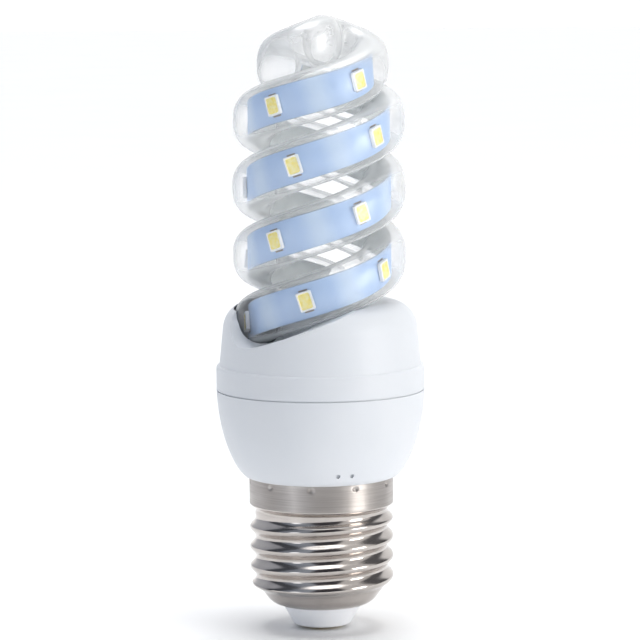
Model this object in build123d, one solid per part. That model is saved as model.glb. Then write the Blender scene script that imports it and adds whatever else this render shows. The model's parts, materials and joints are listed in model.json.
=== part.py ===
from build123d import *
from math import cos, hypot, pi, radians, sin, sqrt
import os

# Spiral LED bulb with an E27 screw base. The origin is the tip of the centre contact, +Z runs up
# the axis, and -Y is the side that faces a viewer. Angles are in degrees from +X, seen from above.

# Screw base
THREAD_CREST_D = 26.3
THREAD_PITCH = 3.63
THREAD_DEPTH = 1.1
THREAD_PHASE_Z = 13.25
THREAD_LENGTH = 13.5
THREAD_FADE = 1.9
SHELL_SHEET = 0.4
SHELL_FOOT_D = 18.2
SHELL_FOOT_HEIGHT = 4.1
SHELL_FOOT_ROUND = 1.4
SKIRT_LENGTH = 6.0
SKIRT_CHAMFER = 1.2
CRIMP_COUNT = 10
CRIMP_FIRST_ANGLE = 10.0
CRIMP_DROP = 0.8
CRIMP_RADIUS = 0.7
CRIMP_DEPTH = 0.45
CONTACT_RISE = 0.6
CONTACT_D = 8.0
CONTACT_STEM_D = 2.6
CONTACT_STEM_LENGTH = 7.2
CONTACT_BORE_D = 1.5
INSULATOR_CONE = 3.8
INSULATOR_TOP_D = 14.6
INSULATOR_FOOT_D = 10.4
INSULATOR_ROUND = 0.8
INSULATOR_PLUG = 2.4

# Lower housing
BOWL_HEIGHT = 15.9
BOWL_FOOT_D = 26.7
SEAM_D = 37.9
BOWL_FULLNESS = 1.7
BOWL_BELLY = 1.6
BOWL_WALL = 2.2
NECK_WALL = 1.6
NECK_GAP_BELOW = 2.6
BOARD_LEDGE = 1.1
BOARD_DEPTH = 5.3
LIP_HEIGHT = 2.5
LIP_WALL = 1.0
DIMPLE_D = 0.8
DIMPLE_ANGLES = (281.3, 290.9)
DIMPLE_HEIGHT = 2.1
DIMPLE_DEPTH = 0.6

# Upper cap
RING_HEIGHT = 4.7
RING_ROUND = 0.6
CAP_WALL = 1.7
SEAM_GROOVE = 0.25
SEAM_GROOVE_DEPTH = 0.3
DOME_HEIGHT = 11.4
DOME_BASE_D = 36.7
DOME_TOP_D = 34.4
DOME_EDGE_ROUND = 5.0
DOME_OVAL = 1.022
HUB_D = 15.0
RAMP_REACH = 24.0
RAMP_STEP = 6.0
FRONT_VALLEY_ANGLE = 224.0
FRONT_VALLEY_DROP = 2.0
FRONT_RAMP_CLIMB = 0.105
BACK_VALLEY_ANGLE = 88.0
BACK_VALLEY_DROP = 0.6
BACK_RAMP_CLIMB = 0.08
HOOD_RISE = 7.8
HOOD_SPAN = 25.0
VALLEY_ROUND = 0.5
SOCKET_RUN = 10.0
RAMP_EXIT = 330.0

# Clear tube
TUBE_RADIUS = 11.8
TUBE_WIDTH = 7.8
TUBE_HEIGHT = 9.2
TUBE_CORNER = 3.4
TUBE_WALL = 1.15
TUBE_EXIT_HEIGHT = 7.35
HALF_TURN_RISE = 12.37
EXIT_ANGLE = 180.0
FRONT_END_ANGLE = 145.0
BACK_END_ANGLE = 215.0
BACK_DIVE_ANGLE = 275.0
BACK_DIVE_DROP = 7.0
REGULAR_END = 720.0
TAPER_START = 690.0
CROWN_END = 900.0
APEX = 1080.0
CROWN_RADIUS = 8.4
CROWN_WIDTH = 7.0
CROWN_RISE = 9.8
CROWN_SLOPE = 0.36
CROWN_SHIFT = 0.85
APEX_RISE = 4.3
SECTION_STEP = 15.0

# LED strips
STRIP_WIDTH = 6.3
STRIP_THICKNESS = 0.4
STRIP_DEPTH = 2.7
STRIP_START_A = 172.0
STRIP_START_B = 266.0
STRIP_END_A = 835.0
STRIP_END_B = 888.0
LED_LENGTH = 3.5
LED_WIDTH = 2.8
LED_HEIGHT = 0.7
LED_DISH_MARGIN = 0.35
LED_DISH_DEPTH = 0.08
LED_FIRST_A = 188.9
LED_FIRST_B = 273.6
LED_PITCH = 16.65
LED_COUNT_A = 9
LED_COUNT_B = 9

# Driver
BOARD_THICKNESS = 1.2
INPUT_CAN_D = 8.0
INPUT_CAN_LENGTH = 11.0
INPUT_CAN_AT = (-4.2, 3.0)
OUTPUT_CAN_D = 6.3
OUTPUT_CAN_LENGTH = 8.6
OUTPUT_CAN_AT = (4.6, 4.2)
CAN_ROUND = 0.5
COIL_CORE_D = 8.0
COIL_CORE_HEIGHT = 7.0
COIL_FLANGE = 1.2
COIL_WAIST_D = 3.6
COIL_WINDING_D = 6.8
COIL_AT = (0.0, -7.6)
RESISTOR_D = 3.0
RESISTOR_LENGTH = 6.5
RESISTOR_AT = (9.2, -3.4)
BRIDGE_SIZE = (4.7, 3.8, 2.4)
BRIDGE_AT = (-6.0, -5.0)
CHIP_SIZE = (4.9, 3.9, 1.5)
CHIP_AT = (1.0, -2.0)
DIODE_SIZE = (4.3, 2.6, 2.2)
DIODE_AT = (6.5, 3.5)
LEAD_D = 1.2
LEAD_BEND = 3.0
LEAD_STRAIGHT = 5.0
LEAD_BOW = 0.8
SHELL_LEAD_AT = (-3.6, -2.6)

# Clearances
FIT = 0.15
THREAD_FIT = 0.3
TUBE_FIT = 0.25
SOLDER_GAP = 0.05

# Heights worked out from the sizes above
rim_z = CONTACT_RISE + INSULATOR_CONE
foot_top_z = rim_z + SHELL_FOOT_HEIGHT
thread_top_z = foot_top_z + THREAD_LENGTH
skirt_top_z = thread_top_z + SKIRT_LENGTH
seam_z = skirt_top_z + BOWL_HEIGHT
ring_top_z = seam_z + RING_HEIGHT
dome_top_z = ring_top_z + DOME_HEIGHT
exit_z = ring_top_z + TUBE_EXIT_HEIGHT
board_z = seam_z - BOARD_DEPTH
crest_r = THREAD_CREST_D / 2
root_r = crest_r - THREAD_DEPTH
lip_r = SEAM_D / 2 - CAP_WALL - FIT
board_r = lip_r - LIP_WALL - FIT


def ease(t):
    """Smooth step from 0 to 1, held at either end."""
    t = min(1.0, max(0.0, t))
    return t * t * (3 - 2 * t)


def blend(t, start, end, slope_in, slope_out):
    """Cubic from start to end over t = 0 to 1, with the given slopes at its ends."""
    return start + (end - start) * ease(t) + slope_in * t * (1 - t) ** 2 - slope_out * t * t * (1 - t)


def revolved(points):
    """Solid turned about the axis from a closed outline of (radius, height) points."""
    return revolve(Plane.XZ * make_face(Polyline(*points, close=True)), Axis.Z)


def radial_plane(angle):
    """Half plane through the axis: local x is the radius and local y the height."""
    a = radians(angle)
    return Plane((0, 0, 0), x_dir=(cos(a), sin(a), 0), z_dir=(sin(a), -cos(a), 0))


# Screw shell


def shell_radius(z):
    """Radius of the shell under its thread: a cone with a rolled rim, the root, then the skirt."""
    rise = z - rim_z
    foot_r = SHELL_FOOT_D / 2
    cone = foot_r + (root_r - foot_r) * min(1.0, max(0.0, rise) / SHELL_FOOT_HEIGHT)
    short = max(0.0, SHELL_FOOT_ROUND - rise)
    rolled = SHELL_FOOT_ROUND - sqrt(SHELL_FOOT_ROUND**2 - min(short, SHELL_FOOT_ROUND) ** 2)
    return cone - rolled + THREAD_DEPTH * ease((z - thread_top_z) / SKIRT_CHAMFER)


def shell_section(z, inset):
    """Level section: the crest of a round thread is a circle whose centre winds about the axis."""
    fade = ease((z - foot_top_z + THREAD_FADE) / THREAD_FADE) * ease((thread_top_z - z) / THREAD_FADE)
    swing = THREAD_DEPTH / 2 * fade
    turn = 2 * pi * (z - THREAD_PHASE_Z) / THREAD_PITCH
    r = shell_radius(z) + swing - inset
    halves = [CenterArc((0, 0), r, start, 180) for start in (0, 180)]
    return Pos(swing * cos(turn), swing * sin(turn), z) * make_face(halves)


def threaded_body(bottom, top, inset):
    """Solid inside the threaded sheet, moved in by the inset, between two heights."""
    rolled = [bottom + SHELL_FOOT_ROUND * k for k in (0, 0.08, 0.3, 0.6)]
    start = bottom + SHELL_FOOT_ROUND
    steps = int((top - start) / (THREAD_PITCH / 8))
    levels = rolled + [start + (top - start) / steps * i for i in range(steps + 1)]
    return loft([shell_section(z, inset) for z in levels])


def crimps(radius):
    """Balls at the crimp points around the skirt."""
    reach = crest_r + CRIMP_RADIUS - CRIMP_DEPTH
    ball = Pos(reach, 0, skirt_top_z - CRIMP_DROP) * Sphere(radius)
    turn = 360 / CRIMP_COUNT
    return [Rot(0, 0, CRIMP_FIRST_ANGLE + turn * i) * ball for i in range(CRIMP_COUNT)]


def make_skirt(bottom):
    """Plain band above the thread, dented inwards at the crimp points."""
    height = skirt_top_z - bottom
    band = Pos(0, 0, bottom + height / 2) * Cylinder(crest_r, height)
    skirt = band - Pos(0, 0, bottom + height / 2) * Cylinder(crest_r - SHELL_SHEET, height)
    for ball in crimps(CRIMP_RADIUS + SHELL_SHEET):
        skirt += ball & band
    for ball in crimps(CRIMP_RADIUS):
        skirt -= ball
    return skirt


def make_screw_shell():
    skirt_z = thread_top_z + SKIRT_CHAMFER
    shell = threaded_body(rim_z, skirt_z, 0) - threaded_body(rim_z + SHELL_SHEET, skirt_z, SHELL_SHEET)
    hole_r = INSULATOR_TOP_D / 2 + FIT
    shell -= Pos(0, 0, rim_z) * Cylinder(hole_r, 4 * SHELL_SHEET)
    return shell + make_skirt(skirt_z)


# Foot of the base


def make_base_insulator():
    """Cone below the shell's rim, with a plug above it that fills the rim's hole."""
    top_r = INSULATOR_TOP_D / 2
    foot_r = INSULATOR_FOOT_D / 2
    plug_top = rim_z + SHELL_SHEET + INSULATOR_PLUG
    outline = [(0, CONTACT_RISE), (foot_r, CONTACT_RISE), (top_r, rim_z), (top_r, plug_top), (0, plug_top)]
    body = revolved(outline)
    foot_edges = body.edges().filter_by(GeomType.CIRCLE).group_by(Axis.Z)[0]
    body = fillet(foot_edges, INSULATOR_ROUND)
    flange_r = min(shell_radius(rim_z + SHELL_SHEET) - SHELL_SHEET, top_r + 1) - FIT
    body += Pos(0, 0, rim_z + SHELL_SHEET + INSULATOR_PLUG / 2) * Cylinder(flange_r, INSULATOR_PLUG)
    bore = Cylinder(CONTACT_STEM_D / 2 + FIT, 4 * plug_top)
    return body - bore


def make_centre_contact():
    """Domed disc with a hollow stem that the contact lead is soldered into."""
    disc_r = CONTACT_D / 2
    crown = (disc_r**2 + CONTACT_RISE**2) / (2 * CONTACT_RISE)
    ball = Pos(0, 0, crown) * Sphere(crown)
    disc = ball & (Pos(0, 0, CONTACT_RISE / 2) * Cylinder(disc_r, CONTACT_RISE))
    length = CONTACT_STEM_LENGTH
    stem = Pos(0, 0, CONTACT_RISE + length / 2) * Cylinder(CONTACT_STEM_D / 2, length)
    bore = Pos(0, 0, CONTACT_RISE + length) * Cylinder(CONTACT_BORE_D / 2, length)
    return disc + stem - bore


# Lower housing


def bowl_radius(z):
    """Outside of the bowl: a rounded shoulder that flattens into a nearly upright wall."""
    t = min(1.0, max(0.0, (z - skirt_top_z) / BOWL_HEIGHT))
    full = (1 - (1 - t) ** BOWL_FULLNESS) ** (1 / BOWL_BELLY)
    return BOWL_FOOT_D / 2 + (SEAM_D - BOWL_FOOT_D) / 2 * full


def make_lower_housing():
    """Bowl with a stepped neck inside the shell, a ledge for the board and a lip inside the cap."""
    levels = [skirt_top_z + BOWL_HEIGHT * k for k in (0, 0.012, 0.05, 0.15, 0.35, 0.65, 1)]
    side = Spline(*[(bowl_radius(z), z) for z in levels])
    skirt_neck_r = crest_r - SHELL_SHEET - FIT
    thread_neck_r = root_r - SHELL_SHEET - THREAD_FIT
    neck_foot = foot_top_z + NECK_GAP_BELOW
    step_z = thread_top_z + SKIRT_CHAMFER + FIT
    lip_top = seam_z + LIP_HEIGHT
    outer = Polyline(
        (SEAM_D / 2, seam_z), (lip_r, seam_z), (lip_r, lip_top), (0, lip_top), (0, neck_foot),
        (thread_neck_r, neck_foot), (thread_neck_r, step_z), (skirt_neck_r, step_z),
        (skirt_neck_r, skirt_top_z), (BOWL_FOOT_D / 2, skirt_top_z),
    )
    body = revolve(Plane.XZ * make_face([side, outer]), Axis.Z)
    bore_r = thread_neck_r - NECK_WALL
    ledge_r = board_r + FIT - BOARD_LEDGE
    flare_z = skirt_top_z + BOWL_WALL
    flare_r = min(bowl_radius(flare_z + BOWL_WALL) - BOWL_WALL, ledge_r)
    body -= revolved([
        (0, neck_foot - 1), (bore_r, neck_foot - 1), (bore_r, flare_z), (flare_r, flare_z + BOWL_WALL),
        (ledge_r, board_z), (board_r + FIT, board_z), (board_r + FIT, lip_top + 1), (0, lip_top + 1),
    ])
    dimple_z = skirt_top_z + DIMPLE_HEIGHT
    dimple = Pos(bowl_radius(dimple_z), dimple_z) * Rot(0, 90, 0) * Cylinder(DIMPLE_D / 2, 2 * DIMPLE_DEPTH)
    for angle in DIMPLE_ANGLES:
        body -= radial_plane(angle) * dimple
    for ball in crimps(CRIMP_RADIUS + SHELL_SHEET + FIT):
        body -= ball & (Pos(0, 0, skirt_top_z / 2) * Cylinder(crest_r, skirt_top_z))
    return body


# Path of the clear tube


def taper(turn):
    """How far the tube has narrowed, from 0 on the regular turns to 1 in the crown."""
    return ease((turn - TAPER_START) / (CROWN_END - TAPER_START))


def tube_centre(turn, back=False):
    """Centre line of one strand, from its lower end up to the apex, where the strands join.

    The regular turns are a helix. Its radius then shrinks to the crown's, and from there half a
    circle leads in to the apex. The crown lies a little to the viewer's right of the axis. The
    back strand drops into the cap below its last turn. It is turned half a turn once it is made.
    """
    if turn <= CROWN_END:
        r = TUBE_RADIUS + (CROWN_RADIUS - TUBE_RADIUS) * taper(turn)
        x = r * cos(radians(turn))
        y = r * sin(radians(turn))
    else:
        x = CROWN_RADIUS / 2 * (cos(radians(CROWN_END)) + cos(radians(turn)))
        y = CROWN_RADIUS / 2 * (sin(radians(CROWN_END)) + sin(radians(turn)))
    x += CROWN_SHIFT * taper(turn) * (-1 if back else 1)
    top = exit_z + HALF_TURN_RISE * (REGULAR_END - EXIT_ANGLE) / 180
    slope = CROWN_SLOPE * pi * CROWN_RADIUS
    if turn <= REGULAR_END:
        z = exit_z + HALF_TURN_RISE * (turn - EXIT_ANGLE) / 180
    elif turn <= CROWN_END:
        t = (turn - REGULAR_END) / (CROWN_END - REGULAR_END)
        z = blend(t, top, top + CROWN_RISE, HALF_TURN_RISE, slope)
    else:
        t = (turn - CROWN_END) / (APEX - CROWN_END)
        z = blend(t, top + CROWN_RISE, top + CROWN_RISE + APEX_RISE, slope / 2, 0)
    if back and turn < BACK_DIVE_ANGLE:
        z -= BACK_DIVE_DROP * ((BACK_DIVE_ANGLE - turn) / (BACK_DIVE_ANGLE - BACK_END_ANGLE)) ** 2
    return Vector(x, y, z)


def tube_plane(turn, back=False):
    """Plane across a strand: local x points away from the axis and local y up the tube's side."""
    ahead = min(turn + 0.5, APEX)
    along = (tube_centre(ahead, back) - tube_centre(ahead - 1, back)).normalized()
    if turn == APEX:
        along = Vector(along.X, along.Y, 0).normalized()
    outward = Vector(along.Y, -along.X, 0).normalized()
    return Plane(tube_centre(turn, back), x_dir=outward, z_dir=along * -1)


def tube_half_width(turn):
    return (TUBE_WIDTH + (CROWN_WIDTH - TUBE_WIDTH) * taper(turn)) / 2


def turns_between(start, end, step=SECTION_STEP):
    """Evenly spaced turn angles from start to end, both included."""
    count = max(2, round((end - start) / step))
    return [start + (end - start) * i / count for i in range(count + 1)]


def strand_turns(start, end, back):
    """Turn angles of a strand's sections, closer together where the back one drops into the cap."""
    if not back:
        return turns_between(start, end)
    settled = BACK_DIVE_ANGLE + SECTION_STEP
    return turns_between(start, settled, SECTION_STEP / 3)[:-1] + turns_between(settled, end)


def tube_section(turn, inset):
    width = 2 * (tube_half_width(turn) - inset)
    return RectangleRounded(width, TUBE_HEIGHT - 2 * inset, TUBE_CORNER - inset)


def strand_sections(turns, inset, back=False):
    return [tube_plane(turn, back) * tube_section(turn, inset) for turn in turns]


def far_strand(sections):
    """The second strand is the first one turned half a turn about the axis."""
    return [Rot(0, 0, 180) * section for section in sections]


def whole_tube(inset):
    """Both strands as one solid, moved in by the inset: up the front one and down the back one."""
    sections = strand_sections(strand_turns(FRONT_END_ANGLE, APEX, False), inset)
    for turn in reversed(strand_turns(BACK_END_ANGLE, APEX, True)[:-1]):
        plane = tube_plane(turn, True)
        reverse = Plane(plane.origin, x_dir=plane.x_dir * -1, z_dir=plane.z_dir * -1)
        sections += far_strand([reverse * tube_section(turn, inset)])
    return loft(sections)


def make_spiral_tube():
    return whole_tube(0) - whole_tube(TUBE_WALL)


def tube_sockets():
    """Room in the cap for both strands' lower ends."""
    front = strand_turns(FRONT_END_ANGLE - SOCKET_RUN, RAMP_EXIT, False)
    back = strand_turns(BACK_END_ANGLE - SOCKET_RUN, RAMP_EXIT, True)
    yield loft(strand_sections(front, -TUBE_FIT))
    yield loft(far_strand(strand_sections(back, -TUBE_FIT, True)))


# Upper cap


def radial_cut(angles, inner_r, floor):
    """Solid above a floor that winds about the axis, from an inner radius out past the cap."""
    top = dome_top_z + 4 * CAP_WALL
    sections = []
    for angle in angles:
        low = min(floor(angle), top - 1)
        block = Pos((inner_r + RAMP_REACH) / 2, (low + top) / 2) * Rectangle(RAMP_REACH - inner_r, top - low)
        sections.append(radial_plane(angle) * block)
    return loft(sections)


def ramp_floor(angle, valley, valley_z, climb):
    """Height of a ramp: the hood's edge falls steeply to the valley, and the ramp climbs from there."""
    hood = HOOD_RISE * ((valley - angle) / HOOD_SPAN) ** 3
    ramp = (angle - valley) * climb
    return valley_z + (hood + ramp) / 2 + hypot((hood - ramp) / 2, VALLEY_ROUND)


def tube_underside(turn):
    return tube_centre(turn).Z - TUBE_HEIGHT / 2


def ramp(valley, valley_z, climb, inner_r):
    """Cut above one ramp, from the top of its hood to where the ramp leaves the dome."""
    height = dome_top_z + CAP_WALL - valley_z
    start = valley - HOOD_SPAN * (height / HOOD_RISE) ** (1 / 3)
    angles = turns_between(start, valley + height / climb, RAMP_STEP)
    return radial_cut(angles, inner_r, lambda angle: ramp_floor(angle, valley, valley_z, climb))


def ramps(drop, inner_r):
    """The two ramps that the strands lie on, lowered by the drop."""
    front_z = tube_underside(FRONT_VALLEY_ANGLE) - FRONT_VALLEY_DROP - drop
    back_z = tube_underside(BACK_VALLEY_ANGLE + 180) - BACK_VALLEY_DROP - drop
    front = ramp(FRONT_VALLEY_ANGLE, front_z, FRONT_RAMP_CLIMB, inner_r)
    return front + ramp(BACK_VALLEY_ANGLE, back_z, BACK_RAMP_CLIMB, inner_r)


def dome(wall):
    """Solid of the cap above its ring, oval in plan, moved in by the wall."""
    base_z = ring_top_z - RING_HEIGHT / 2
    top_z = dome_top_z - wall
    base_r = DOME_BASE_D / 2 - wall
    top_r = DOME_TOP_D / 2 - wall
    body = revolved([(0, base_z), (base_r, base_z), (base_r, ring_top_z), (top_r, top_z), (0, top_z)])
    top_edge = body.edges().filter_by(GeomType.CIRCLE).group_by(Axis.Z)[-1]
    body = fillet(top_edge, DOME_EDGE_ROUND - wall)
    return scale(body, by=(1, DOME_OVAL, 1))


def make_upper_cap():
    ring_r = SEAM_D / 2
    groove_r = ring_r - SEAM_GROOVE_DEPTH
    ring = revolved([
        (0, seam_z), (groove_r, seam_z), (groove_r, seam_z + SEAM_GROOVE), (ring_r, seam_z + SEAM_GROOVE),
        (ring_r, ring_top_z), (0, ring_top_z),
    ])
    ring = fillet(ring.edges().filter_by(GeomType.CIRCLE).group_by(Axis.Z)[-1], RING_ROUND)
    hub_r = HUB_D / 2
    cap = ring + dome(0) - ramps(0, hub_r)
    hollow_r = ring_r - CAP_WALL
    hollow = Pos(0, 0, (seam_z + ring_top_z) / 2 - CAP_WALL) * Cylinder(hollow_r, RING_HEIGHT)
    hollow += dome(CAP_WALL) - ramps(CAP_WALL, hub_r - CAP_WALL)
    cap -= hollow
    for socket in tube_sockets():
        cap -= socket
    return cap


# LED strips


def strip_face(turn):
    """Distance of the strip's outer face from the tube's centre line."""
    return tube_half_width(turn) - STRIP_DEPTH


def strip_sections(start, end, back):
    sections = []
    for turn in turns_between(start, end):
        strip = Pos(strip_face(turn) - STRIP_THICKNESS / 2, 0) * Rectangle(STRIP_THICKNESS, STRIP_WIDTH)
        sections.append(tube_plane(turn, back) * strip)
    return sections


def strip_point(turn, back):
    """Point in the middle of the strip's outer face."""
    plane = tube_plane(turn, back)
    return plane.origin + plane.x_dir * strip_face(turn)


def led_turns(first, count, back):
    """Turn angles of a strip's LEDs, which lie an even pitch apart along its face."""
    turns = [first]
    while len(turns) < count:
        turn = turns[-1]
        run = 0.0
        while run < LED_PITCH:
            step = (strip_point(turn + 1, back) - strip_point(turn, back)).length
            run += step
            turn += 1
        turns.append(turn - (run - LED_PITCH) / step)
    return turns


def make_led(turn, back):
    """LED package flat on its strip, with the shallow dish that holds the phosphor."""
    plane = tube_plane(turn, back)
    seat = strip_point(turn, back) + plane.x_dir * SOLDER_GAP
    mount = Plane(seat, x_dir=plane.z_dir, z_dir=plane.x_dir)
    body = Box(LED_WIDTH, LED_LENGTH, LED_HEIGHT, align=(Align.CENTER, Align.CENTER, Align.MIN))
    dish = Box(LED_WIDTH - 2 * LED_DISH_MARGIN, LED_LENGTH - 2 * LED_DISH_MARGIN, 2 * LED_DISH_DEPTH)
    return mount * (body - Pos(0, 0, LED_HEIGHT) * dish)


# Driver


def hung(solid, at):
    """Places a part on the underside of the board, its top at local height 0."""
    return Pos(at[0], at[1], board_z) * solid


def standing(size, at):
    """Box package on the top face of the board."""
    box = Box(*size, align=(Align.CENTER, Align.CENTER, Align.MIN))
    return Pos(at[0], at[1], board_z + BOARD_THICKNESS) * box


def capacitor(diameter, length):
    can = Pos(0, 0, -length / 2) * Cylinder(diameter / 2, length)
    return fillet(can.edges().filter_by(GeomType.CIRCLE).group_by(Axis.Z)[0], CAN_ROUND)


def coil_core():
    half = COIL_CORE_D / 2
    waist = COIL_WAIST_D / 2
    foot = -COIL_CORE_HEIGHT
    return revolved([
        (0, 0), (half, 0), (half, -COIL_FLANGE), (waist, -COIL_FLANGE), (waist, foot + COIL_FLANGE),
        (half, foot + COIL_FLANGE), (half, foot), (0, foot),
    ])


def coil_winding():
    length = COIL_CORE_HEIGHT - 2 * COIL_FLANGE - 2 * SOLDER_GAP
    ring = Cylinder(COIL_WINDING_D / 2, length) - Cylinder(COIL_WAIST_D / 2 + SOLDER_GAP, length)
    return Pos(0, 0, -COIL_CORE_HEIGHT / 2) * ring


def resistor():
    return Pos(0, 0, -RESISTOR_LENGTH / 2) * Cylinder(RESISTOR_D / 2, RESISTOR_LENGTH)


def lead(points):
    """Insulated wire along straight runs joined by tangent arcs."""
    path = FilletPolyline(*points, radius=LEAD_BEND)
    return sweep(Plane(path @ 0, z_dir=path % 0) * Circle(LEAD_D / 2), path)


def make_contact_lead():
    """Wire from the board down the axis to the centre contact's stem, with a slack bow in it."""
    top_z = board_z - SOLDER_GAP
    foot_z = CONTACT_RISE + CONTACT_STEM_LENGTH + SOLDER_GAP
    run = LEAD_STRAIGHT
    middle = (LEAD_BOW, -LEAD_BOW, (top_z + foot_z) / 2)
    return lead([(0, 0, top_z), (0, 0, top_z - run), middle, (0, 0, foot_z + run), (0, 0, foot_z)])


def make_shell_lead():
    """Wire from the board down the neck and out below it to the inside of the shell."""
    x, y = SHELL_LEAD_AT
    top_z = board_z - SOLDER_GAP
    end_z = foot_top_z + NECK_GAP_BELOW / 2
    wall_r = root_r - SHELL_SHEET - THREAD_FIT
    reach = sqrt(wall_r**2 - (abs(y) + LEAD_D / 2) ** 2)
    return lead([(x, y, top_z), (x, y, end_z), (-reach, y, end_z)])


def make_strip_lead(start, end_turn, back):
    """Wire from the board's top face up through a strand's open end to the foot of its strip."""
    turns = [start - 1.5, (start + end_turn) / 2, end_turn - 4]
    points = [tube_centre(turn, back) for turn in turns]
    first = tube_plane(turns[0], back)
    points[0] = first.origin + first.x_dir * (strip_face(start) - LEAD_D / 2)
    last = points[-1]
    before = points[-2]
    over = last + (last - before) / 2
    top = board_z + BOARD_THICKNESS
    points.append(Vector(over.X, over.Y, (last.Z + top) / 2))
    points.append(Vector(over.X, over.Y, top))
    if back:
        points = [Vector(-p.X, -p.Y, p.Z) for p in points]
    return lead(points)


parts = {
    "screw_shell": make_screw_shell(),
    "base_insulator": make_base_insulator(),
    "centre_contact": make_centre_contact(),
    "lower_housing": make_lower_housing(),
    "upper_cap": make_upper_cap(),
    "spiral_tube": make_spiral_tube(),
    "led_strip_a": loft(strip_sections(STRIP_START_A, STRIP_END_A, False)),
    "led_strip_b": loft(far_strand(strip_sections(STRIP_START_B, STRIP_END_B, True))),
    "driver_board": Pos(0, 0, board_z + BOARD_THICKNESS / 2) * Cylinder(board_r, BOARD_THICKNESS),
    "input_capacitor": hung(capacitor(INPUT_CAN_D, INPUT_CAN_LENGTH), INPUT_CAN_AT),
    "output_capacitor": hung(capacitor(OUTPUT_CAN_D, OUTPUT_CAN_LENGTH), OUTPUT_CAN_AT),
    "inductor_core": hung(coil_core(), COIL_AT),
    "inductor_winding": hung(coil_winding(), COIL_AT),
    "fusible_resistor": hung(resistor(), RESISTOR_AT),
    "bridge_rectifier": standing(BRIDGE_SIZE, BRIDGE_AT),
    "driver_chip": standing(CHIP_SIZE, CHIP_AT),
    "flyback_diode": standing(DIODE_SIZE, DIODE_AT),
    "contact_lead": make_contact_lead(),
    "shell_lead": make_shell_lead(),
    "strip_lead_a": make_strip_lead(STRIP_START_A, FRONT_END_ANGLE, False),
    "strip_lead_b": make_strip_lead(STRIP_START_B, BACK_END_ANGLE, True),
}
for i, turn in enumerate(led_turns(LED_FIRST_A, LED_COUNT_A, False)):
    parts[f"led_a_{i + 1:02d}"] = make_led(turn, False)
for i, turn in enumerate(led_turns(LED_FIRST_B, LED_COUNT_B, True)):
    parts[f"led_b_{i + 1:02d}"] = Rot(0, 0, 180) * make_led(turn, True)

os.makedirs("parts", exist_ok=True)
for name, solid in parts.items():
    export_step(solid, f"parts/{name}.step")
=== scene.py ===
"""Spiral LED bulb: the finish of every piece, built around the packed frame and shown on a pale stage."""
import json
from math import atan, cos, pi, radians, sin

import bpy
import numpy as np
from bpy.props import FloatProperty, FloatVectorProperty, IntProperty, PointerProperty
from mathutils import Matrix, Vector


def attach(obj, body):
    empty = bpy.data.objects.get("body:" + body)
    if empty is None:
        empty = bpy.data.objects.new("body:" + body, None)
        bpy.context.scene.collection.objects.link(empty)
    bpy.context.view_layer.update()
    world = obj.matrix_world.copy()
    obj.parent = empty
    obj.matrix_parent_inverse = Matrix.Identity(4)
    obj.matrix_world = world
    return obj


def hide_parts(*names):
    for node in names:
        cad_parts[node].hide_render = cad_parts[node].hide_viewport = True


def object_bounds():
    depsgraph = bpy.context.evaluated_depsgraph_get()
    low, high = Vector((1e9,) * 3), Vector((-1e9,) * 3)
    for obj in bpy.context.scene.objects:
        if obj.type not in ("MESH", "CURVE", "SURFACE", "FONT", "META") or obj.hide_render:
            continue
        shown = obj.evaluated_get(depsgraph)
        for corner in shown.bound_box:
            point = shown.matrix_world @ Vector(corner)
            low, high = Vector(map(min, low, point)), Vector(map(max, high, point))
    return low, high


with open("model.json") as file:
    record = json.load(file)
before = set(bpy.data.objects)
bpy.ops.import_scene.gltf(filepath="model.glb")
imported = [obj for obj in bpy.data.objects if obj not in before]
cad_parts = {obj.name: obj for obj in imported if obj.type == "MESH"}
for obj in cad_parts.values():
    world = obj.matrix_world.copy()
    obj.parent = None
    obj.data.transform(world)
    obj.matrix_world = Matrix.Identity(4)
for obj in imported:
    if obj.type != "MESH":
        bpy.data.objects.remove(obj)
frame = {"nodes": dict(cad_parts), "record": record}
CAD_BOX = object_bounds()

bl_info = {
    "name": "Spiral LED Bulb",
    "version": (1, 0, 0),
    "blender": (4, 5, 0),
    "location": "View3D > Sidebar > Bulb",
    "description": "Builds the pieces, finishes and stage of a spiral LED bulb",
    "category": "Object",
}

MM = 0.001
BODY = "root"
FULL_TURN = 2 * pi
LED_NODES_A = sorted(n for n in frame["nodes"] if n.startswith("led_a_"))
LED_NODES_B = sorted(n for n in frame["nodes"] if n.startswith("led_b_"))

# How finely the surfaces are divided
TUBE_RINGS_FRONT = 240
TUBE_RINGS_BACK = 230
TUBE_SIDES = 48
STRIP_RINGS = 260
LED_SIDES = 32
SHELL_SIDES = 300
ROLL_RINGS = 7
THREAD_RINGS = 105
SKIRT_RINGS = 26
FLOOR_LINES = 9
PATH_STEP = radians(0.5)
RUN_POINTS = 4000
CRIMP_BAND = 2.6 * MM

# Haze of the tube: its strength, where it starts and the span over which it grows
CROWN_HAZE = 0.6
CROWN_HAZE_FROM = 0.80
CROWN_HAZE_SPAN = 0.10
EDGE_HAZE = 0.5
EDGE_HAZE_FROM = 0.62
EDGE_HAZE_SPAN = 0.26
FOOT_HAZE = 0.9
FOOT_HAZE_FRONT = radians(202)
FOOT_HAZE_BACK = radians(255)
FOOT_HAZE_SPAN = radians(20)

# Rings of an LED package in millimetres, from its foot over the rim into the dish
LED_INSETS = (1.4, 0.05, 0.0, 0.0, 0.06, 0.30, 0.40, 0.55, 1.39)
LED_FOOT_HEIGHTS = (0.0, 0.0, 0.05)
LED_RIM_DROPS = (0.06, 0.0, 0.0, 0.10, 0.08, 0.06)
LED_POWERS = (14, 14, 14, 14, 14, 7, 6, 5, 4)
DISH_ROWS = 3

# Bevel of a strip as a share of its thickness
STRIP_BEVEL = 0.3
# Added to a strip's count of LED places: it stays above zero, and each LED is at a half
LED_PLACE_SHIFT = 10.5
# Share of the chamfer's height from which the shell is satin
SATIN_FROM = 0.9

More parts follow.
